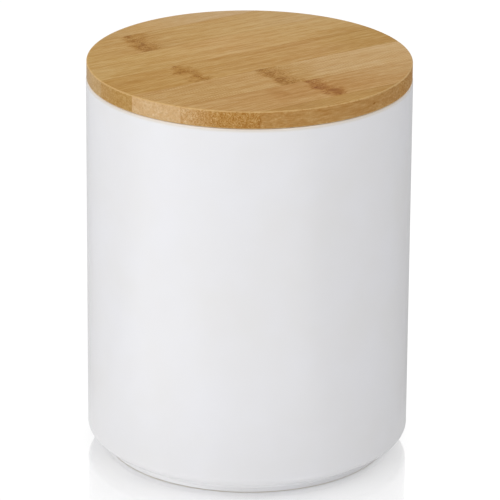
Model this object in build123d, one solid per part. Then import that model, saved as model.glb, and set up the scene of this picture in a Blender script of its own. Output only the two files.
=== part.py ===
"""Upright bread bin: a round glazed stoneware jar, closed by a bamboo lid with a silicone seal.

The jar is one thrown and fired piece. The lid is two boards of bamboo strips, glued edge to edge:
the top board shows above the rim, and the smaller plug board hangs in the mouth, its grain turned
across the top board's. A silicone ring sits in a groove round the plug.
Millimetres, +Z up, origin at the centre of the foot's underside, on the jar's axis.
"""

from build123d import *
import os

# Jar
jar_diameter = 185.0
jar_height = 221.0  # from the table to the rim
wall_thickness = 7.0
floor_thickness = 8.0
rim_outer_round = 1.5
rim_inner_round = 2.0
inner_corner_round = 12.0  # between the floor and the wall, inside

# Jar's heel and foot ring
heel_height = 9.6  # where the wall turns in, above the table
heel_round = 5.0
foot_diameter = 163.6
foot_side_height = 3.0  # upright part of the foot, below the bevel
foot_ring_width = 8.0
foot_recess = 3.5  # how far the underside stands above the table
foot_edge_round = 1.0

# Lid's top board
lid_inset = 0.3  # lid's edge inside the jar's outer wall
lid_thickness = 10.0
lid_chamfer = 0.6  # eased edges of the top board
top_strip_count = 7
top_first_trim = 18.0  # what turning the board round takes off its first strip
top_last_trim = 12.0
top_grain_angle = 34.0  # grain above +X, in degrees

# Lid's plug board
plug_gap = 3.0  # between the plug and the mouth, which the seal bridges
plug_height = 10.0
plug_chamfer = 0.8
plug_strip_count = 6
plug_trim = 7.5  # off its first strip and off its last
groove_width = 5.0
groove_depth = 2.0

# Silicone seal
seat_clearance = 0.1  # between the seal and the walls of its groove
seal_stand_out = 0.6  # seal's band proud of the plug
fin_thickness = 1.0
fin_rise = 0.8  # how far a fin's tip bends up as it enters the mouth
fin_margin = 0.3  # from the fins to the band's upper and lower edges
mouth_clearance = 0.3  # between the fins' tips and the mouth

# Worked out from the sizes above
jar_radius = jar_diameter / 2
mouth_radius = jar_radius - wall_thickness
foot_radius = foot_diameter / 2
floor_top = foot_recess + floor_thickness
lid_radius = jar_radius - lid_inset
lid_top = jar_height + lid_thickness
plug_grain_angle = top_grain_angle + 90.0
plug_radius = mouth_radius - plug_gap
plug_bottom = jar_height - plug_height
groove_radius = plug_radius - groove_depth
groove_middle = plug_bottom + plug_height / 2


def turned(points, rounds=None):
    """Solid of revolution about Z from an outline of (radius, height), with some corners rounded."""
    outline = make_face(Polyline(*points, close=True))
    for corner, radius in (rounds or {}).items():
        vertex = outline.vertices().sort_by_distance(corner)[0]
        outline = fillet(vertex, radius)
    return revolve(Plane.XZ * outline, axis=Axis.Z)


def jar():
    foot_inner_radius = foot_radius - foot_ring_width
    underside_corner = (foot_inner_radius, foot_recess)
    foot_inner_corner = (foot_inner_radius, 0)
    foot_outer_corner = (foot_radius, 0)
    bevel_foot = (foot_radius, foot_side_height)
    heel = (jar_radius, heel_height)
    rim_outside = (jar_radius, jar_height)
    rim_inside = (mouth_radius, jar_height)
    floor_corner = (mouth_radius, floor_top)
    points = [
        (0, foot_recess),
        underside_corner,
        foot_inner_corner,
        foot_outer_corner,
        bevel_foot,
        heel,
        rim_outside,
        rim_inside,
        floor_corner,
        (0, floor_top),
    ]
    rounds = {
        underside_corner: foot_edge_round,
        foot_inner_corner: foot_edge_round,
        foot_outer_corner: foot_edge_round,
        bevel_foot: foot_edge_round,
        heel: heel_round,
        rim_outside: rim_outer_round,
        rim_inside: rim_inner_round,
        floor_corner: inner_corner_round,
    }
    return turned(points, rounds)


def top_board():
    points = [
        (0, jar_height),
        (lid_radius - lid_chamfer, jar_height),
        (lid_radius, jar_height + lid_chamfer),
        (lid_radius, lid_top - lid_chamfer),
        (lid_radius - lid_chamfer, lid_top),
        (0, lid_top),
    ]
    return turned(points)


def plug_board():
    groove_low = groove_middle - groove_width / 2
    groove_high = groove_middle + groove_width / 2
    points = [
        (0, plug_bottom),
        (plug_radius - plug_chamfer, plug_bottom),
        (plug_radius, plug_bottom + plug_chamfer),
        (plug_radius, groove_low),
        (groove_radius, groove_low),
        (groove_radius, groove_high),
        (plug_radius, groove_high),
        (plug_radius, jar_height),
        (0, jar_height),
    ]
    return turned(points)


def strips_of(board, board_radius, grain_angle, count, first_trim, last_trim):
    """Cuts a round board into its equal strips, from one side to the other across the grain."""
    width = (2 * board_radius + first_trim + last_trim) / count
    strips = []
    for number in range(count):
        middle = -board_radius - first_trim + (number + 0.5) * width
        slab = Pos(0, middle, jar_height) * Box(
            4 * board_radius, width, 4 * (lid_thickness + plug_height)
        )
        strips.append(board & (Rot(0, 0, grain_angle) * slab))
    return strips


def seal():
    """Ring with a flat band in the groove and two thin fins that reach for the mouth's wall."""
    band_inside = groove_radius + seat_clearance
    band_outside = plug_radius + seal_stand_out
    fin_tip = mouth_radius - mouth_clearance
    low = groove_middle - groove_width / 2 + seat_clearance
    high = groove_middle + groove_width / 2 - seat_clearance
    low_fin = low + fin_margin
    high_fin = high - fin_margin - fin_thickness
    points = [
        (band_inside, low),
        (band_outside, low),
        (band_outside, low_fin),
        (fin_tip, low_fin + fin_rise),
        (fin_tip, low_fin + fin_rise + fin_thickness / 2),
        (band_outside, low_fin + fin_thickness),
        (band_outside, high_fin),
        (fin_tip, high_fin + fin_rise),
        (fin_tip, high_fin + fin_rise + fin_thickness / 2),
        (band_outside, high_fin + fin_thickness),
        (band_outside, high),
        (band_inside, high),
    ]
    return turned(points)


def write(name, shape):
    shape.label = name
    export_step(shape, f"parts/{name}.step")


os.makedirs("parts", exist_ok=True)
write("jar", jar())
top_strips = strips_of(
    top_board(), lid_radius, top_grain_angle, top_strip_count, top_first_trim, top_last_trim
)
for number, strip in enumerate(top_strips, start=1):
    write(f"lid_strip_{number}", strip)
plug_strips = strips_of(
    plug_board(), plug_radius, plug_grain_angle, plug_strip_count, plug_trim, plug_trim
)
for number, strip in enumerate(plug_strips, start=1):
    write(f"plug_strip_{number}", strip)
write("seal_ring", seal())
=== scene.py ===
import math

import bmesh
import bpy
from mathutils import Matrix, Vector


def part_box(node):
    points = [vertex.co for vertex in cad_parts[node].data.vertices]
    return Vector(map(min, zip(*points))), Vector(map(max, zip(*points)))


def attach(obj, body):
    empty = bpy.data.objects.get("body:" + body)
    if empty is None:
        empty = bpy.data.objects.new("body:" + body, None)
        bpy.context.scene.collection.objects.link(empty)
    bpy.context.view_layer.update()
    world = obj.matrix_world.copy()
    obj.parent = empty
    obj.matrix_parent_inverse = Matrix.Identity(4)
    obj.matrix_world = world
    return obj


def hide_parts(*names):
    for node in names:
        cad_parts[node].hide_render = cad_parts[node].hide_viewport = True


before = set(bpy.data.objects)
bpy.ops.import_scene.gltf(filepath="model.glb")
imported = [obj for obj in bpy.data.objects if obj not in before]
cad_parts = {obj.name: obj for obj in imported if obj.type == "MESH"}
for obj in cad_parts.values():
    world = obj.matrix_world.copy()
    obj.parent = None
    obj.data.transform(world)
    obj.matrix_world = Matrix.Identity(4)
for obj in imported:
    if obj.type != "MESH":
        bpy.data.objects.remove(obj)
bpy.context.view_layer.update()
mm = 0.001


def deselectAll():
    if bpy.context.object and bpy.context.object.mode != "OBJECT":
        bpy.ops.object.mode_set(mode="OBJECT")
    bpy.ops.object.select_all(action="DESELECT")


def work(piece):
    deselectAll()
    bpy.context.view_layer.objects.active = piece
    piece.select_set(True)


def selectEdges(piece, wanted):
    # wanted is asked of both ends of each edge
    bpy.ops.mesh.select_mode(type="EDGE")
    bpy.ops.mesh.select_all(action="DESELECT")
    mesh = bmesh.from_edit_mesh(piece.data)
    for edge in mesh.edges:
        edge.select_set(all(wanted(vertex.co) for vertex in edge.verts))
    bmesh.update_edit_mesh(piece.data)


def selectFaces(piece, wanted):
    bpy.ops.mesh.select_mode(type="FACE")
    bpy.ops.mesh.select_all(action="DESELECT")
    mesh = bmesh.from_edit_mesh(piece.data)
    for face in mesh.faces:
        face.select_set(wanted(face))
    bmesh.update_edit_mesh(piece.data)


turning = {
    "sides": 240,
    "weld": 0.001 * mm,
    "near": 0.02 * mm,  # a corner this near to a ring is on it
    "faceTurn": 15,  # degrees that one face of a round turns by
    "largeRound": 5 * mm,  # a larger round than this gets a few faces more
    "moreFaces": 2,
    "flatMargin": 2 * mm,
    "sharpest": math.radians(35),  # the shading is smooth over edges that turn less than this
}


def turn(name, rings, hollow=False):
    # a circle is pulled from ring to ring, then each ring is rounded
    # a ring is (radius, height, round) or (radius, height)
    deselectAll()
    first = rings[0]
    bpy.ops.mesh.primitive_circle_add(
        vertices=turning["sides"], radius=first[0], fill_type="NOTHING", location=(0, 0, first[1])
    )
    piece = bpy.context.object
    piece.name = name
    bpy.ops.object.transform_apply(location=True, rotation=True, scale=True)
    bpy.ops.object.mode_set(mode="EDIT")
    path = rings + [first] if hollow else rings
    for here, there in zip(path, path[1:]):
        bpy.ops.mesh.extrude_edges_move(
            TRANSFORM_OT_translate={"value": (0, 0, there[1] - here[1])}
        )
        grow = there[0] / here[0]
        bpy.ops.transform.resize(value=(grow, grow, 1), center_override=(0, 0, there[1]))
    bpy.ops.mesh.select_all(action="SELECT")
    if hollow:
        bpy.ops.mesh.remove_doubles(threshold=turning["weld"])
    else:
        bpy.ops.mesh.fill_holes(sides=0)
    bpy.ops.mesh.select_all(action="SELECT")
    bpy.ops.mesh.normals_make_consistent(inside=False)

    if hollow:
        before, after = [rings[-1]] + rings[:-1], rings[1:] + [rings[0]]
    else:
        before = [(0, rings[0][1])] + rings[:-1]
        after = rings[1:] + [(0, rings[-1][1])]
    for back, ring, ahead in zip(before, rings, after):
        if len(ring) < 3:
            continue
        radius, height, rounding = ring
        come = Vector((radius - back[0], height - back[1]))
        leave = Vector((ahead[0] - radius, ahead[1] - height))
        bend = come.angle(leave)
        selectEdges(piece, lambda co: abs(co.xy.length - radius) < turning["near"]
                    and abs(co.z - height) < turning["near"])
        faces = round(math.degrees(bend) / turning["faceTurn"])
        if rounding > turning["largeRound"]:
            faces += turning["moreFaces"]
        bpy.ops.mesh.bevel(
            offset=rounding * math.tan(bend / 2),
            offset_type="OFFSET",
            segments=max(2, faces),
            profile=0.5,
            affect="EDGES",
        )
    if not hollow:
        # a narrow rim inside each flat end keeps its shading flat
        selectFaces(piece, lambda face: len(face.verts) == turning["sides"])
        bpy.ops.mesh.inset(thickness=turning["flatMargin"])
    bpy.ops.object.mode_set(mode="OBJECT")
    return piece


def finishPiece(piece, node, material, body):
    work(piece)
    bpy.ops.object.shade_smooth_by_angle(angle=turning["sharpest"])
    piece.data.materials.append(material)
    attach(piece, body)
    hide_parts(node)
    deselectAll()


def linear(hexColour):
    # sRGB hex to the linear values that sockets take
    channels = []
    for start in (1, 3, 5):
        value = int(hexColour[start:start + 2], 16) / 255
        channels.append(value / 12.92 if value <= 0.04045 else ((value + 0.055) / 1.055) ** 2.4)
    return (*channels, 1.0)


def newMaterial(name):
    material = bpy.data.materials.new(name)
    material.use_nodes = True
    material.node_tree.nodes.clear()
    return material


def addNode(tree, kind, inputs=(), **settings):
    # inputs fill the node's sockets in their order, or by name; a node stands for its first output
    node = tree.nodes.new("ShaderNode" + kind)
    for name, value in settings.items():
        setattr(node, name, value)
    inOrder = [socket for socket in node.inputs if socket.enabled]
    for place, value in (inputs.items() if isinstance(inputs, dict) else enumerate(inputs)):
        socket = node.inputs[place] if isinstance(place, str) else inOrder[place]
        if isinstance(value, bpy.types.Node):
            value = next(output for output in value.outputs if output.enabled)
        if isinstance(value, bpy.types.NodeSocket):
            tree.links.new(value, socket)
        else:
            socket.default_value = value
    return node


smooth = {"interpolation_type": "SMOOTHSTEP"}
colours = {"data_type": "RGBA"}
cloudy = (0.3, 0.7)  # nearly all of the clouds' values lie in between
seedStep = (1.3, 1.7, 3.1)  # how far one seed's part of the pattern is from the next one's


def stretchedClouds(tree, vector, size, seed, detail=2, distortion=0):
    # soft spots as long, wide and tall as size says, or as large as size every way
    sides = size if isinstance(size, tuple) else (size, size, size)
    scale = tuple(1 / side for side in sides)
    start = tuple(seed * step for step in seedStep)
    stretched = addNode(tree, "Mapping", [vector, start, (0, 0, 0), scale])
    return addNode(tree, "TexNoise", {
        "Vector": stretched, "Scale": 1.0, "Detail": detail, "Roughness": 0.6,
        "Distortion": distortion})


jarLook = {
    "wall": 7 * mm,
    "floor": 8 * mm,
    "rimOuterRound": 1.5 * mm,
    "rimInnerRound": 2 * mm,
    "innerCornerRound": 12 * mm,
    "heelHeight": 9.6 * mm,
    "heelRound": 5 * mm,
    "footRadius": 81.8 * mm,
    "footSide": 3 * mm,
    "footWidth": 8 * mm,
    "footRecess": 3.5 * mm,
    "footRound": 1 * mm,
    "wallBands": 8,
    "glaze": "#ECECEE",
    "glazeThin": "#E6E4DF",  # in patches, where it pooled less
    "thinPatch": 45 * mm,
    "thinMost": 0.35,
    # where it ran thin over the rim and the clay shows through, with a painted warm reflection of
    # the bamboo lid on the rim's round: how far below the top that starts and is full, how far from the
    # rim's middle it stays weak and is full, and how weak it is there
    "glazeRimAndLidReflection": "#E0D7CB",
    "rimReach": (2.6 * mm, 0.5 * mm),
    "rimEdge": (1.2 * mm, 2.8 * mm),
    "rimWeakest": 0.3,
    "bareClay": "#E0D8CA",
    "clayGrit": "#D2C9B9",
    "gritSize": 0.6 * mm,
    "glazeLine": (0.25 * mm, 0.45 * mm),  # bare up to here, and glazed from there
    "waverLength": 7 * mm,  # of that line
    "waverHeight": 0.3 * mm,
    "waveLength": 26 * mm,  # of the fired skin
    "gloss": 0.22,  # roughness of the fired skin
    "bareRoughness": 0.85,
}


def glazedStoneware(outer, top):
    # stoneware with a thick white glaze, gloss fired: an even cool white, a clear wet skin over it,
    # very slightly wavy, a warm thin line over the rim's edges, which is thin glaze and also a painted
    # reflection of the bamboo lid, and a bare sandy ring where it stood in the kiln
    look = jarLook
    material = newMaterial("white glazed stoneware")
    tree = material.node_tree
    place = addNode(tree, "TexCoord").outputs["Object"]
    height = addNode(tree, "SeparateXYZ", [place]).outputs["Z"]
    pooling = stretchedClouds(tree, place, look["thinPatch"], seed=1)
    thin = addNode(tree, "MapRange", [pooling, *cloudy, 0, look["thinMost"]])
    glaze = addNode(tree, "Mix", [thin, linear(look["glaze"]), linear(look["glazeThin"])], **colours)

    # it ran thin over the rim, most of all at the rim's two edges; the warm tint there is also a
    # painted reflection of the bamboo lid above
    outward = addNode(tree, "VectorMath", [place, (1, 1, 0)], operation="MULTIPLY")
    outward = addNode(tree, "VectorMath", [outward], operation="LENGTH")
    fromRim = addNode(tree, "Math", [outward, outer - look["wall"] / 2], operation="SUBTRACT")
    fromRim = addNode(tree, "Math", [fromRim], operation="ABSOLUTE")
    edges = addNode(tree, "MapRange", [fromRim, *look["rimEdge"], look["rimWeakest"], 1], **smooth)
    rimStart, rimFull = look["rimReach"]
    rim = addNode(tree, "MapRange", [height, top - rimStart, top - rimFull], **smooth)
    rim = addNode(tree, "Math", [rim, edges], operation="MULTIPLY")
    glaze = addNode(tree, "Mix", [rim, glaze, linear(look["glazeRimAndLidReflection"])], **colours)

    # the bare ring, with an uneven edge where the glaze was wiped
    waver = stretchedClouds(tree, place, look["waverLength"], seed=2)
    edge = addNode(tree, "Math", [waver, look["waverHeight"], height], operation="MULTIPLY_ADD")
    bare = addNode(tree, "MapRange", [edge, *look["glazeLine"], 1, 0], **smooth)
    grit = stretchedClouds(tree, place, look["gritSize"], seed=3, detail=4)
    clay = addNode(tree, "Mix", [grit, linear(look["bareClay"]), linear(look["clayGrit"])], **colours)
    colour = addNode(tree, "Mix", [bare, glaze, clay], **colours)
    rough = addNode(tree, "MapRange", [bare, 0, 1, look["gloss"], look["bareRoughness"]])

    # slow waves in the fired skin, and grit where it is bare
    wave = stretchedClouds(tree, place, look["waveLength"], seed=4, detail=1)
    skin = addNode(tree, "Bump", {"Height": wave, "Strength": 0.3, "Distance": 0.03 * mm})
    sand = addNode(tree, "Math", [grit, bare], operation="MULTIPLY")
    relief = addNode(tree, "Bump", {
        "Height": sand, "Strength": 0.6, "Distance": 0.15 * mm, "Normal": skin})
    shader = addNode(tree, "BsdfPrincipled", {
        "Base Color": colour, "Roughness": rough, "IOR": 1.5, "Normal": relief})
    addNode(tree, "OutputMaterial", {"Surface": shader})
    return material


def makeJar():
    look = jarLook
    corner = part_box("jar")[1]
    outer, top = corner.x, corner.z
    mouth = outer - look["wall"]
    inside = look["footRecess"] + look["floor"]
    footInner = look["footRadius"] - look["footWidth"]
    rings = [
        (footInner, look["footRecess"], look["footRound"]),
        (footInner, 0, look["footRound"]),
        (look["footRadius"], 0, look["footRound"]),
        (look["footRadius"], look["footSide"], look["footRound"]),
        (outer, look["heelHeight"], look["heelRound"]),
    ]
    for band in range(1, look["wallBands"]):
        share = band / look["wallBands"]
        rings.append((outer, look["heelHeight"] + (top - look["heelHeight"]) * share))
    rings += [
        (outer, top, look["rimOuterRound"]),
        (mouth, top, look["rimInnerRound"]),
        (mouth, inside, look["innerCornerRound"]),
    ]
    jar = turn("stoneware_jar", rings)
    finishPiece(jar, "jar", glazedStoneware(outer, top), "jar")


makeJar()
print("jar made")


through = 1  # a spot this tall goes right through its strip

# Each strip below has:
# tones: along it, each with its place in mm to the right of the board's middle
# sawn: the tones of its sawn ends, towards the front and towards the back
# scales: how much a sawn end looks like fish scales
# planed: how clearly the planer's marks show, where they are clearer than usual
# ring: where a joint of the stalk was, with its place, how it leans, its width, how softly it ends,
# how far its edges wander, its depth, and its tint where it has one of its own
# spots: each with its place along, across and up, its size in the same order, and its depth

lidLook = {
    "grain": math.radians(34),  # above +X
    "firstTrim": 18 * mm,  # taken off the first and the last strip when the board was turned
    "lastTrim": 12 * mm,
    "easedEdge": 0.6 * mm,
    # from front to back
    "strips": [
        {"tones": [(-40, "#B78B49"), (-20, "#B28646"), (5, "#B98E4C"), (50, "#B18647")],
         "sawn": ("#B4864A", "#B5884C"), "scales": 0.08,
         "spots": [((22.8 * mm, 5.6 * mm, 226 * mm), (1.6 * mm, 8 * mm, 1.2 * mm), 0.7)]},
        {"tones": [(-70, "#C19659"), (-10, "#BC8E51"), (20, "#BD9053"), (70, "#C49C64")],
         "sawn": ("#B48442", "#C89F69"), "scales": 0.45,
         "ring": {"at": 8 * mm, "slant": 0.03, "width": 12 * mm, "soft": 5 * mm, "wander": 22 * mm,
                  "depth": 0.85, "tint": "#FAFBEC"},
         "spots": [((9 * mm, -8 * mm, 0), (6 * mm, 7 * mm, through), 0.9),
                   ((-20 * mm, 7 * mm, 0), (9 * mm, 9 * mm, through), 0.25)]},
        {"tones": [(-85, "#C2985B"), (-50, "#C09658"), (-15, "#C49A5E"), (12, "#C1985B"),
                   (25, "#C8A169"), (85, "#CDA872")],
         "sawn": ("#D2AE7E", "#CDA775"), "scales": 0.08, "planed": 1.0,
         "ring": {"at": -3 * mm, "slant": 0.0, "width": 13 * mm, "soft": 7 * mm, "wander": 10 * mm,
                  "depth": 0.88}},
        {"tones": [(-85, "#B98C46"), (-50, "#BE924E"), (-25, "#BE9250"), (40, "#C09455"),
                   (65, "#BC9250"), (85, "#BA904D")],
         "sawn": ("#B38A4B", "#B68E54"), "scales": 0.08,
         "ring": {"at": -42 * mm, "slant": 0.06, "width": 10 * mm, "soft": 3 * mm, "wander": 26 * mm,
                  "depth": 0.6}},
        {"tones": [(-85, "#C69F5F"), (-45, "#C49B59"), (0, "#C89D5F"), (45, "#C8A062"),
                   (85, "#C7A165")],
         "sawn": ("#BE9C6A", "#B79A72"), "scales": 0.08,
         "spots": [((-72 * mm, -11 * mm, 0), (30 * mm, 6 * mm, through), 0.15),
                   ((78 * mm, -12 * mm, 0), (30 * mm, 8 * mm, through), 0.2)]},
        {"tones": [(-80, "#C19855"), (-50, "#C19655"), (-25, "#BE9353"), (-5, "#C49B5B"),
                   (30, "#C79F61"), (75, "#C6A16A")],
         "sawn": ("#B48F5E", "#B48F5E"), "scales": 0.1,
         "ring": {"at": -35 * mm, "slant": 0.17, "width": 12 * mm, "soft": 5 * mm, "wander": 18 * mm,
                  "depth": 0.75},
         "spots": [((-27 * mm, 12.5 * mm, 0), (8 * mm, 2 * mm, through), 0.5)]},
        {"tones": [(-50, "#BD9559"), (-22, "#C89F62"), (0, "#CBA670"), (50, "#CCA97B")],
         "sawn": ("#BC9862", "#BC9862"), "scales": 0.1},
    ],
}

plugLook = {
    "grain": math.radians(34 + 90),  # across the top board's
    "firstTrim": 7.5 * mm,
    "lastTrim": 7.5 * mm,
    "gap": 3 * mm,  # to the mouth
    "grooveWidth": 5 * mm,
    "grooveDepth": 2 * mm,
    "easedEdge": 0.8 * mm,
    "strips": [
        {"tones": [(-60, "#C2985A"), (60, "#BF914F")], "sawn": ("#B98F55", "#B98F55"), "scales": 0.4,
         "ring": {"at": 21 * mm, "slant": 0.1, "width": 9 * mm, "soft": 4 * mm, "wander": 20 * mm,
                  "depth": 0.8}},
        {"tones": [(-80, "#BF904E"), (80, "#C09556")], "sawn": ("#B58B50", "#B58B50"), "scales": 0.6},
        {"tones": [(-80, "#C9A266"), (80, "#C69C5C")], "sawn": ("#C8A472", "#C8A472"), "scales": 0.3,
         "ring": {"at": -33 * mm, "slant": -0.12, "width": 10 * mm, "soft": 6 * mm, "wander": 20 * mm,
                  "depth": 0.7}},
        {"tones": [(-80, "#C29752"), (80, "#BD8F4F")], "sawn": ("#B88D52", "#B88D52"), "scales": 0.5,
         "ring": {"at": 44 * mm, "slant": 0.06, "width": 8 * mm, "soft": 3 * mm, "wander": 20 * mm,
                  "depth": 0.9}},
        {"tones": [(-80, "#BE9151"), (80, "#C69D60")], "sawn": ("#BA925A", "#BA925A"), "scales": 0.4,
         "ring": {"at": -8 * mm, "slant": -0.1, "width": 11 * mm, "soft": 5 * mm, "wander": 20 * mm,
                  "depth": 0.8}},
        {"tones": [(-60, "#C8A063"), (60, "#C39856")], "sawn": ("#C09A64", "#C09A64"), "scales": 0.4},
    ],
}

bambooLook = {
    "pore": "#96703C",
    "wornAndLitArris": "#D9B57C",  # the arris, polished pale by sanding and wiping; on the lower edge also painted light over the shadow gap
    "ringTint": "#F9FFF2",  # multiplies the ring, a little more golden than its strip
    "toneDrift": 24 * mm,  # how far the places of a strip's tones wander along it
    # how much deeper the strip's own tone gets: in its ring, at the glue lines, and in streaks
    # along the fibres, each with its length, width, detail and strength
    "ringDepth": 0.75,
    "glueDepth": 0.3,
    "streaks": [(60 * mm, 8 * mm, 2, 0.3), (50 * mm, 2.2 * mm, 2, 0.45), (30 * mm, 1.1 * mm, 2, 0.6),
                (6 * mm, 0.9 * mm, 1, 0.4)],
    "swerve": 7 * mm,  # of the fibres round a ring
    "swerveReach": (3 * mm, 18 * mm),  # from the ring's middle: full up to here, gone from there
    "ringEdge": 3 * mm,  # how softly a ring starts
    "strokeRange": (-0.3, 0.7),  # a ring's short strokes, from the palest to the darkest
    "haloDepth": 0.38,
    "ridgeRange": (0.1, 0.65),
    "patchy": (0.4, 0.62),  # the clouds' values from a patch's edge to its full part
    "spotRagged": 1.4,
    "glueLine": (0.6 * mm, 0.1 * mm),  # from the strip's side: a tenth wide, drawn coarser to show
    "bundlePitch": 1.5 * mm,  # fibre bundles, 0.5 mm apart, drawn coarser to show
    "bundleLength": 40 * mm,
    "bundleDepth": (0.12, 0.2),  # along the fibres, and on a cut end
    "planerPitch": 1.8 * mm,  # marks that the planer's knives leave across the strip
    "planerDepth": 0.16,
    "planed": 0.4,
    "wornAndLitWidth": (0.85 * mm, 1.3 * mm),  # full up to here, gone from there
    "wornAndLitChips": 1 * mm,
    "wornAndLitShare": 0.65,
    "roughness": (0.56, 0.68),
}


def sandedBamboo(name, grain, strip, middle, halfWidth, radius, low, high, seed):
    # bamboo strips glued edge to edge, planed, sanded and oiled: long fine fibres along the strip
    # that show as dots where they are cut across, a soft brown ring where a joint of the stalk was,
    # and for each strip a tone of its own; matt, because the oil has soaked in
    look = bambooLook
    material = newMaterial(name)
    tree = material.node_tree
    coordinates = addNode(tree, "TexCoord")
    place, facing = coordinates.outputs["Object"], coordinates.outputs["Normal"]
    # X runs along the fibres and Y across them, measured from the strip's own middle line
    turned = addNode(tree, "Mapping", [place, (0, -middle, 0), (0, 0, -grain)])
    along, across, height = addNode(tree, "SeparateXYZ", [turned]).outputs

    # each joint of the stalk ripened by itself, so the tone changes along the strip
    drift = stretchedClouds(tree, turned, (50 * mm, 9 * mm, 9 * mm), seed)
    drifted = addNode(tree, "Math", [drift, look["toneDrift"], along], operation="MULTIPLY_ADD")
    unmoved = look["toneDrift"] / 2
    share = addNode(tree, "MapRange", [drifted, unmoved - radius, unmoved + radius])
    tone = addNode(tree, "ValToRGB", [share])
    stops = tone.color_ramp.elements
    tones = [(0.5 + at * mm / (2 * radius), linear(hexColour)) for at, hexColour in strip["tones"]]
    stops[0].position, stops[0].color = tones[0]
    stops[1].position, stops[1].color = tones[-1]
    for position, colour in tones[1:-1]:
        stops.new(position).color = colour

    # the fibres swerve round the ring
    ring = strip.get("ring")
    ragged = stretchedClouds(tree, turned, (11 * mm, 6 * mm, 9 * mm), seed + 5, detail=3)
    fibreAcross = across
    if ring:
        leaning = addNode(tree, "Math", [across, -ring["slant"], along], operation="MULTIPLY_ADD")
        away = addNode(tree, "Math", [ragged, ring["wander"], leaning], operation="MULTIPLY_ADD")
        away = addNode(tree, "Math", [away, ring["at"] + ring["wander"] / 2], operation="SUBTRACT")
        distance = addNode(tree, "Math", [away], operation="ABSOLUTE")
        near = addNode(tree, "MapRange", [distance, *look["swerveReach"], 1, 0], **smooth)
        swirl = stretchedClouds(tree, turned, (8 * mm, 6 * mm, 9 * mm), seed + 9, detail=1)
        swirl = addNode(tree, "Math", [swirl, 0.5], operation="SUBTRACT")
        swerve = addNode(tree, "Math", [swirl, near], operation="MULTIPLY")
        fibreAcross = addNode(tree, "Math", [swerve, look["swerve"], across], operation="MULTIPLY_ADD")
    fibre = addNode(tree, "CombineXYZ", [along, fibreAcross, height])

    # how far the surface cuts across the fibres, and the sawn ends' own tone
    cut = addNode(tree, "VectorMath", [facing, (math.cos(grain), math.sin(grain), 0)],
                  operation="DOT_PRODUCT")
    cut = addNode(tree, "Math", [cut], operation="ABSOLUTE")
    cut = addNode(tree, "MapRange", [cut, 0.08, 0.45], **smooth)
    upward = addNode(tree, "SeparateXYZ", [facing]).outputs["Z"]
    side = addNode(tree, "MapRange", [upward, 0.2, 0.6, 1, 0], **smooth)
    towardBack = addNode(tree, "MapRange", [across, -0.2 * halfWidth, halfWidth], **smooth)
    sawn = addNode(tree, "Mix", [towardBack, *[linear(tint) for tint in strip["sawn"]]], **colours)
    colour = addNode(tree, "Mix", [side, tone, sawn], **colours)

    # where the bamboo holds more colour its tone is deeper and warmer, as a gamma over 1 makes it:
    # first, streaks along the fibres
    deeper = 1 - sum(strength for *size, strength in look["streaks"]) / 2
    for number, (length, width, detail, strength) in enumerate(look["streaks"]):
        streak = stretchedClouds(tree, fibre, (length, width, width), seed + 11 * number, detail)
        deeper = addNode(tree, "Math", [streak, strength, deeper], operation="MULTIPLY_ADD")

    # the saw frays the fibres into small pale scales
    scales = stretchedClouds(tree, place, (0.8 * mm, 0.8 * mm, 1.6 * mm), seed + 67, 1, 2)
    mostFrayed = 0.5 * strip["scales"]
    scales = addNode(tree, "MapRange", [scales, 0.4, 0.6, -mostFrayed, mostFrayed])
    scales = addNode(tree, "Math", [scales, side], operation="MULTIPLY")
    deeper = addNode(tree, "Math", [scales, deeper], operation="ADD")

    # marks that the planer left, where the grain lets them show
    wave = addNode(tree, "Math", [along, 2 * math.pi / look["planerPitch"]], operation="MULTIPLY")
    wave = addNode(tree, "Math", [wave], operation="SINE")
    rows = stretchedClouds(tree, fibre, (45 * mm, 2.4 * mm, 3 * mm), seed + 61, detail=1)
    mostPlaned = look["planerDepth"] * strip.get("planed", look["planed"])
    rows = addNode(tree, "MapRange", [rows, 0.45, 0.65, 0, mostPlaned])
    rows = addNode(tree, "Math", [rows, upward], operation="MULTIPLY")
    deeper = addNode(tree, "Math", [wave, rows, deeper], operation="MULTIPLY_ADD")

    # the glue line along each side of the strip, filled here and there
    fromMiddle = addNode(tree, "Math", [across], operation="ABSOLUTE")
    glueStart, glueFull = look["glueLine"]
    glue = addNode(tree, "MapRange", [fromMiddle, halfWidth - glueStart, halfWidth - glueFull],
                   **smooth)
    filled = addNode(tree, "MapRange", [drift, 0.42, 0.6, 0.0, look["glueDepth"]])
    deeper = addNode(tree, "Math", [glue, filled, deeper], operation="MULTIPLY_ADD")

    dark = 0.0
    if ring:
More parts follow.
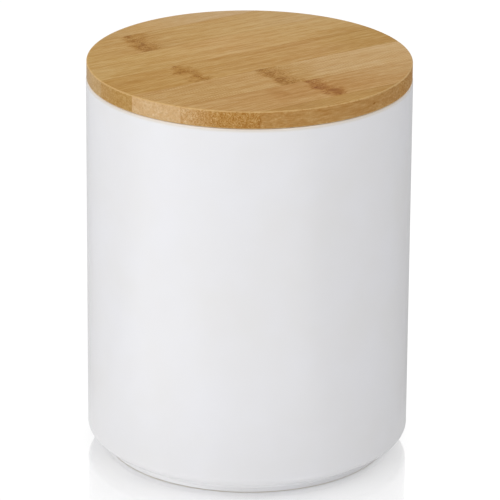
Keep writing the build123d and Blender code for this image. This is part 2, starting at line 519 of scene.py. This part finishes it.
        # a soft halo, a darker ridge at its left, and short curved strokes of cut fibres
        edge, soft = ring["width"] / 2, ring["soft"]
        left = addNode(tree, "MapRange", [away, -edge - look["ringEdge"], -edge + look["ringEdge"]],
                       **smooth)
        right = addNode(tree, "MapRange", [away, edge - soft, edge + soft, 1, 0], **smooth)
        halo = addNode(tree, "Math", [left, right], operation="MULTIPLY")
        ridgeEnd = addNode(tree, "MapRange", [away, -edge / 2, edge / 2, 1, 0], **smooth)
        ridge = addNode(tree, "Math", [left, ridgeEnd], operation="MULTIPLY")
        patches = stretchedClouds(tree, turned, (7 * mm, 6 * mm, 7 * mm), seed + 47)
        patches = addNode(tree, "MapRange", [patches, *look["patchy"], *look["ridgeRange"]])
        ridge = addNode(tree, "Math", [ridge, patches], operation="MULTIPLY")
        strokes = stretchedClouds(tree, turned, (1.9 * mm, 1.2 * mm, 2 * mm), seed + 53, 1, 1.5)
        strokes = addNode(tree, "MapRange", [strokes, *look["patchy"], *look["strokeRange"]])
        dark = addNode(tree, "Math", [strokes, look["haloDepth"]], operation="ADD")
        dark = addNode(tree, "Math", [halo, dark, ridge], operation="MULTIPLY_ADD")
        dark = addNode(tree, "Math", [dark, ring["depth"]], operation="MULTIPLY")
    for at, size, depth in strip.get("spots", []):
        away = addNode(tree, "VectorMath", [turned, at], operation="SUBTRACT")
        if size[2] == through:
            away = addNode(tree, "VectorMath", [away, (1, 1, 0)], operation="MULTIPLY")
        away = addNode(tree, "VectorMath", [away, size], operation="DIVIDE")
        away = addNode(tree, "VectorMath", [away], operation="LENGTH")
        away = addNode(tree, "Math", [ragged, look["spotRagged"], away], operation="MULTIPLY_ADD")
        spot = addNode(tree, "MapRange", [away, 0.8, 1.8, depth, 0], **smooth)
        dark = addNode(tree, "Math", [spot, dark], operation="MAXIMUM")
    if dark:
        ringTint = linear((ring or {}).get("tint", look["ringTint"]))
        deeper = addNode(tree, "Math", [dark, look["ringDepth"], deeper], operation="MULTIPLY_ADD")
        colour = addNode(tree, "Mix", [dark, colour, ringTint], blend_type="MULTIPLY", **colours)
    colour = addNode(tree, "Gamma", [colour, deeper])

    # fibre bundles: thin dark lines along the strip, dots on a cut end
    pitch = look["bundlePitch"]
    bundles = addNode(tree, "Mapping", [
        fibre, (seed, seed * 2.3, 0), (0, 0, 0), (1 / look["bundleLength"], 1 / pitch, 1 / pitch)])
    cells = addNode(tree, "TexVoronoi", {"Vector": bundles, "Scale": 1.0, "Randomness": 0.9})
    dots = addNode(tree, "MapRange", [cells, 0.1, 0.5, 1, 0], **smooth)
    dotDepth = addNode(tree, "MapRange", [cut, 0, 1, *look["bundleDepth"]])
    dots = addNode(tree, "Math", [dots, dotDepth], operation="MULTIPLY")
    colour = addNode(tree, "Mix", [dots, colour, linear(look["pore"])], **colours)

    # the worn arrises, all round the board's edge, above and below; on the lower edge the pale tint is
    # also painted light over the shadow gap beneath
    outward = addNode(tree, "VectorMath", [place, (1, 1, 0)], operation="MULTIPLY")
    outward = addNode(tree, "VectorMath", [outward], operation="LENGTH")
    inward = addNode(tree, "Math", [radius, outward], operation="SUBTRACT")
    fromCentre = addNode(tree, "Math", [height, (low + high) / 2], operation="SUBTRACT")
    fromCentre = addNode(tree, "Math", [fromCentre], operation="ABSOLUTE")
    fromFlat = addNode(tree, "Math", [(high - low) / 2, fromCentre], operation="SUBTRACT")
    fromArris = addNode(tree, "Math", [inward, fromFlat], operation="ADD")
    chips = stretchedClouds(tree, place, 2 * mm, seed + 71)
    fromArris = addNode(tree, "Math", [chips, look["wornAndLitChips"], fromArris], operation="MULTIPLY_ADD")
    wornAndLitArris = addNode(tree, "MapRange", [fromArris, *look["wornAndLitWidth"], look["wornAndLitShare"], 0], **smooth)
    colour = addNode(tree, "Mix", [wornAndLitArris, colour, linear(look["wornAndLitArris"])], **colours)

    # the finest streaks also stand a little proud
    relief = addNode(tree, "Bump", {"Height": streak, "Strength": 0.3, "Distance": 0.05 * mm})
    rough = addNode(tree, "MapRange", [streak, *cloudy, *look["roughness"]])
    shader = addNode(tree, "BsdfPrincipled", {
        "Base Color": colour, "Roughness": rough, "IOR": 1.45, "Specular IOR Level": 0.2,
        "Normal": relief})
    addNode(tree, "OutputMaterial", {"Surface": shader})
    return material


def cutStrip(board, name, grain, start, end):
    # a copy of the round board, sawn along both of the strip's glue lines
    work(board)
    bpy.ops.object.duplicate()
    strip = bpy.context.object
    strip.name = name
    acrossGrain = Vector((-math.sin(grain), math.cos(grain), 0))
    bpy.ops.object.mode_set(mode="EDIT")
    for line, side in ((start, -1), (end, 1)):
        bpy.ops.mesh.select_all(action="SELECT")
        bpy.ops.mesh.bisect(
            plane_co=acrossGrain * line, plane_no=acrossGrain * side,
            use_fill=True, clear_outer=True,
        )
    bpy.ops.object.mode_set(mode="OBJECT")
    return strip


def gluedBoard(board, pieceName, nodeName, look, radius, low, high, seed):
    width = (2 * radius + look["firstTrim"] + look["lastTrim"]) / len(look["strips"])
    # the outermost strips run past the board's edge, where there is nothing to saw
    edge = radius + 1 * mm
    for number, strip in enumerate(look["strips"], start=1):
        start = -radius - look["firstTrim"] + (number - 1) * width
        end = start + width
        piece = cutStrip(board, f"{pieceName}_{number}", look["grain"],
                         max(start, -edge), min(end, edge))
        bamboo = sandedBamboo(f"oiled bamboo, {pieceName} {number}", look["grain"], strip,
                              (start + end) / 2, width / 2, radius, low, high, seed + number)
        finishPiece(piece, f"{nodeName}_{number}", bamboo, "lid")
    work(board)
    bpy.ops.object.delete()


def makeLidBoard():
    boxes = [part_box(f"lid_strip_{number}") for number in range(1, len(lidLook["strips"]) + 1)]
    low = min(corners[0].z for corners in boxes)
    high = max(corners[1].z for corners in boxes)
    radius = max(corners[1].x for corners in boxes)
    eased = lidLook["easedEdge"]
    board = turn("board", [(radius, low, eased), (radius, high, eased)])
    gluedBoard(board, "top_strip", "lid_strip", lidLook, radius, low, high, seed=0)


def makePlugBoard():
    look = plugLook
    low, high = (corner.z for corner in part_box("plug_strip_3"))
    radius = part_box("jar")[1].x - jarLook["wall"] - look["gap"]
    grooveRadius = radius - look["grooveDepth"]
    grooveLow = (low + high - look["grooveWidth"]) / 2
    grooveHigh = grooveLow + look["grooveWidth"]
    board = turn("board", [
        (radius, low, look["easedEdge"]),
        (radius, grooveLow),
        (grooveRadius, grooveLow),
        (grooveRadius, grooveHigh),
        (radius, grooveHigh),
        (radius, high),
    ])
    gluedBoard(board, "plug_board", "plug_strip", look, radius, low, high, seed=40)


makeLidBoard()
print("lid board made")
makePlugBoard()
print("plug board made")


sealLook = {
    "seat": 0.1 * mm,
    "standOut": 0.6 * mm,
    "fin": 1 * mm,
    "finRise": 0.8 * mm,
    "finMargin": 0.3 * mm,
    "tip": 0.5 * mm,
    "innerRound": 0.2 * mm,
    "bandRound": 0.12 * mm,
    "tipRound": 0.1 * mm,
    "dustPatch": 2.5 * mm,
    "milky": "#E3E5E2",
    "dusty": "#D5D8D4",
}


def milkySilicone():
    # platinum silicone, moulded: milky, lets a little light in, satin from the mould, picks up dust
    material = newMaterial("moulded silicone")
    tree = material.node_tree
    place = addNode(tree, "TexCoord").outputs["Object"]
    dust = stretchedClouds(tree, place, sealLook["dustPatch"], seed=1, detail=5)
    colour = addNode(tree, "Mix", [dust, linear(sealLook["milky"]), linear(sealLook["dusty"])],
                     **colours)
    rough = addNode(tree, "MapRange", [dust, 0, 1, 0.35, 0.55])
    relief = addNode(tree, "Bump", {"Height": dust, "Strength": 0.15, "Distance": 0.03 * mm})
    shader = addNode(tree, "BsdfPrincipled", {
        "Base Color": colour, "Roughness": rough, "IOR": 1.41, "Subsurface Weight": 0.35,
        "Subsurface Radius": (1, 1, 1), "Subsurface Scale": 1.5 * mm, "Normal": relief})
    addNode(tree, "OutputMaterial", {"Surface": shader})
    return material


def makeSeal():
    look = sealLook
    low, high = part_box("seal_ring")
    tipRadius, bottom, top = high.x, low.z, high.z
    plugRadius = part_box("jar")[1].x - jarLook["wall"] - plugLook["gap"]
    inner = plugRadius - plugLook["grooveDepth"] + look["seat"]
    band = plugRadius + look["standOut"]
    lowFin = bottom + look["finMargin"]
    highFin = top - look["finMargin"] - look["fin"]
    rings = [(inner, bottom, look["innerRound"]), (band, bottom, look["bandRound"])]
    for fin in (lowFin, highFin):
        rings += [
            (band, fin),
            (tipRadius, fin + look["finRise"], look["tipRound"]),
            (tipRadius, fin + look["finRise"] + look["tip"], look["tipRound"]),
            (band, fin + look["fin"]),
        ]
    rings += [(band, top, look["bandRound"]), (inner, top, look["innerRound"])]
    seal = turn("silicone_seal", rings, hollow=True)
    finishPiece(seal, "seal_ring", milkySilicone(), "lid")


makeSeal()
print("seal made")


cameraLook = {
    "lens": 308.8,
    "distance": 2.4624,
    "elevation": math.radians(20.66),
    "roll": math.radians(0.414),
    "target": Vector((0.00097, 0, 0.11585)),
}


def makeCamera():
    look = cameraLook
    back = Vector((0, -math.cos(look["elevation"]), math.sin(look["elevation"])))
    bpy.ops.object.camera_add(location=look["target"] + back * look["distance"])
    camera = bpy.context.object
    tilt = Matrix.Rotation(math.pi / 2 - look["elevation"], 3, "X")
    camera.rotation_euler = (tilt @ Matrix.Rotation(look["roll"], 3, "Z")).to_euler()
    camera.data.lens = look["lens"]
    camera.data.sensor_width = 36
    camera.data.clip_end = 100
    bpy.context.scene.camera = camera


makeCamera()
print("camera set")


# bearings in stageLook and lightLook are seen from the object, from the front towards the right
stageLook = {
    "floorSize": 24,
    "sheet": "#F6F6F6",
    "footRadius": 82 * mm,
    # the mirror image: its share right at the foot and far off, how fast it fades, how much weaker
    # it is on the right, where and how much the key light washes it out on the left, and how far
    # from the foot the sheet greys it
    "mirrorMost": 0.94,
    "mirrorLeast": 0.3,
    "mirrorFade": 20 * mm,
    "mirrorRight": 0.22,
    "washedSide": (-0.68, -0.88),  # sines of the bearing
    "washedReach": (0.5 * mm, 6 * mm),
    "washedShare": 0.15,
    "greyReach": (3 * mm, 22 * mm),
    # what the glaze shows of the table: the bearings, in degrees, where each light part starts, is
    # full, is full no longer and ends, how bright it is, how far from the middle of the table the
    # light parts start and are full, and how light the table is at the sides and behind
    "front": (-95, -70, 30, 50),
    "frontLight": 1.1,
    "window": (-75, -55, -45, -25),
    "windowLight": 0.35,
    "clearReach": (110 * mm, 280 * mm),
    "behind": (0.1, -0.8),  # cosines of the bearing, from the sides to behind
    "behindLight": (0.58, 0.34),
    "rightLight": -0.1,
    # a shooting table lights what stands on it a little from below: more close to the foot, but not
    # right at it, and less on the right
    "underglow": 0.1,
    "footGlow": 0.7,
    "footGlowFade": 5 * mm,
    "footGlowStart": (-1.1 * mm, 2 * mm),
    "footGlowRight": (-0.3, 0.8),  # sines of the bearing
    "footGlowShare": (1.1, 0.66),
    # what the eye sees of the sheet itself: how white it is, how much of the real shading shows on
    # top of that, and how much more of it close to the foot
    "whiteness": 1.0,
    "shade": 0.08,
    "contactShade": 0.2,
    "contactFade": 3 * mm,
}


def whiteAcrylic():
    # polished white acrylic, the sheet of a shooting table: a clear mirror image close to the foot,
    # which fades away from it, on an even white
    look = stageLook
    material = newMaterial("polished white acrylic")
    tree = material.node_tree
    path = addNode(tree, "LightPath").outputs
    place = addNode(tree, "TexCoord").outputs["Object"]
    radius = addNode(tree, "VectorMath", [place], operation="LENGTH")
    past = addNode(tree, "Math", [radius, look["footRadius"]], operation="SUBTRACT")
    past = addNode(tree, "Math", [past, 0.0], operation="MAXIMUM")
    toRight, back = addNode(tree, "SeparateXYZ", [place]).outputs[:2]
    front = addNode(tree, "Math", [back, -1.0], operation="MULTIPLY")
    bearing = addNode(tree, "Math", [toRight, front], operation="ARCTAN2")
    turnedRight = addNode(tree, "Math", [bearing], operation="SINE")
    turnedFront = addNode(tree, "Math", [bearing], operation="COSINE")

    def fading(most, reach):
        share = addNode(tree, "Math", [past, -1 / reach], operation="MULTIPLY")
        share = addNode(tree, "Math", [share], operation="EXPONENT")
        return addNode(tree, "Math", [share, most], operation="MULTIPLY")

    def between(bearings):
        start, startEnd, endStart, end = [math.radians(degrees) for degrees in bearings]
        rise = addNode(tree, "MapRange", [bearing, start, startEnd], **smooth)
        fall = addNode(tree, "MapRange", [bearing, endStart, end, 1, 0], **smooth)
        return addNode(tree, "Math", [rise, fall], operation="MULTIPLY")

    mirrored = addNode(tree, "Math", [path["Is Camera Ray"], path["Is Glossy Ray"]],
                       operation="MAXIMUM")
    near = fading(look["mirrorMost"] - look["mirrorLeast"], look["mirrorFade"])
    near = addNode(tree, "Math", [near, look["mirrorLeast"]], operation="ADD")
    near = addNode(tree, "Math", [near, mirrored], operation="MULTIPLY")
    toLamp = addNode(tree, "Math", [turnedRight, -look["mirrorRight"], 1.0], operation="MULTIPLY_ADD")
    near = addNode(tree, "Math", [near, toLamp], operation="MULTIPLY")
    # the key light from the left washes the mirror image out there
    keySide = addNode(tree, "MapRange", [turnedRight, *look["washedSide"]], **smooth)
    washed = addNode(tree, "MapRange", [past, *look["washedReach"], 0, -look["washedShare"]], **smooth)
    washed = addNode(tree, "Math", [keySide, washed, 1.0], operation="MULTIPLY_ADD")
    near = addNode(tree, "Math", [near, washed], operation="MULTIPLY")
    gloss = addNode(tree, "Fresnel", {"IOR": 1.49})
    mirror = addNode(tree, "Math", [near, gloss], operation="MAXIMUM")

    # what the glaze shows of the table: white in front, where the window light falls on it,
    # brightest to the left of the middle, grey where it runs off to the dark sides, and darkest behind
    window = addNode(tree, "Math", [between(look["window"]), look["windowLight"]], operation="MULTIPLY")
    bright = addNode(tree, "Math", [between(look["front"]), look["frontLight"], window],
                     operation="MULTIPLY_ADD")
    clear = addNode(tree, "MapRange", [radius, *look["clearReach"]], **smooth)
    behind = addNode(tree, "MapRange", [turnedFront, *look["behind"], *look["behindLight"]], **smooth)
    sides = addNode(tree, "Math", [turnedRight, look["rightLight"], behind], operation="MULTIPLY_ADD")
    inGlaze = addNode(tree, "Math", [bright, clear, sides], operation="MULTIPLY_ADD")
    glazeView = addNode(tree, "Emission", {"Strength": inGlaze})

    # what lights the object from below, less on its right
    plain = addNode(tree, "BsdfDiffuse", {"Color": linear(look["sheet"])})
    leftward = addNode(tree, "MapRange", [turnedRight, *look["footGlowRight"], *look["footGlowShare"]],
                       **smooth)
    glow = addNode(tree, "Math", [fading(look["footGlow"], look["footGlowFade"]), leftward],
                   operation="MULTIPLY")
    offFoot = addNode(tree, "MapRange", [past, *look["footGlowStart"]], **smooth)
    glow = addNode(tree, "Math", [glow, offFoot], operation="MULTIPLY")
    glow = addNode(tree, "Math", [clear, look["underglow"], glow], operation="MULTIPLY_ADD")
    under = addNode(tree, "Emission", {"Strength": glow})
    sheet = addNode(tree, "AddShader", [plain, under])

    # what the eye sees: white, and the object's shadow where it stands
    contact = fading(look["contactShade"], look["contactFade"])
    shade = addNode(tree, "Math", [contact, look["shade"]], operation="ADD")
    shaded = addNode(tree, "BsdfDiffuse", {"Color": shade})
    whiteness = addNode(tree, "Math", [look["whiteness"], contact], operation="SUBTRACT")
    white = addNode(tree, "Emission", {"Strength": whiteness})
    seen = addNode(tree, "AddShader", [shaded, white])
    straight = addNode(tree, "Math", [path["Is Camera Ray"], path["Is Transmission Ray"]],
                       operation="MAXIMUM")

    mixed = addNode(tree, "MixShader", [path["Is Glossy Ray"], sheet, glazeView])
    mixed = addNode(tree, "MixShader", [straight, mixed, seen])
    # the mirror image is greyed by the sheet near the foot, and clean further out
    farther = addNode(tree, "MapRange", [past, *look["greyReach"]], **smooth)
    tint = addNode(tree, "Mix", [farther, linear(look["sheet"]), linear("#FFFFFF")], **colours)
    shine = addNode(tree, "BsdfGlossy", {"Color": tint, "Roughness": 0.02})
    mixed = addNode(tree, "MixShader", [mirror, mixed, shine])
    addNode(tree, "OutputMaterial", {"Surface": mixed})
    return material


def makeStage():
    deselectAll()
    bpy.ops.mesh.primitive_plane_add(size=stageLook["floorSize"])
    floor = bpy.context.object
    floor.name = "floor"
    floor.data.materials.append(whiteAcrylic())


lightLook = {
    "fill": 0.38,
    "fillTint": "#FAFAFF",
    "aim": Vector((0, 0, 0.12)),
    # each one's bearing and height above the table in degrees, its distance, width and height, and
    # how bright a white sheet square to it looks
    "softboxes": {
        "key softbox": (-55, 46, 2.6, 3.0, 3.0, 0.625),
        "right softbox": (45, 50, 2.4, 1.2, 0.5, 0.205),
    },
}


def makeWorld():
    world = bpy.data.worlds.new("studio")
    bpy.context.scene.world = world
    world.use_nodes = True
    tree = world.node_tree
    tree.nodes.clear()
    path = addNode(tree, "LightPath").outputs
    seen = addNode(tree, "Math", [path["Is Camera Ray"], path["Is Glossy Ray"]], operation="MAXIMUM")
    seen = addNode(tree, "Math", [seen, path["Is Transmission Ray"]], operation="MAXIMUM")
    fill = addNode(tree, "Background", [linear(lightLook["fillTint"]), lightLook["fill"]])
    white = addNode(tree, "Background", [linear("#FFFFFF"), 1.0])
    mixed = addNode(tree, "MixShader", [seen, fill, white])
    addNode(tree, "OutputWorld", {"Surface": mixed})


def addSoftbox(name, bearing, rise, distance, width, height, light):
    bearing, rise = math.radians(bearing), math.radians(rise)
    back = Vector((math.sin(bearing) * math.cos(rise), -math.cos(bearing) * math.cos(rise),
                   math.sin(rise)))
    deselectAll()
    bpy.ops.object.light_add(type="AREA", location=lightLook["aim"] + back * distance)
    lamp = bpy.context.object
    lamp.name = name
    lamp.data.shape = "RECTANGLE"
    lamp.data.size = width
    lamp.data.size_y = height
    lamp.data.energy = light * math.pi ** 2 * distance ** 2
    lamp.rotation_euler = back.to_track_quat("Z", "Y").to_euler()
    lamp.visible_camera = False


makeStage()
makeWorld()
for name, setting in lightLook["softboxes"].items():
    addSoftbox(name, *setting)
bpy.context.scene.view_settings.view_transform = "Standard"
print("stage made")
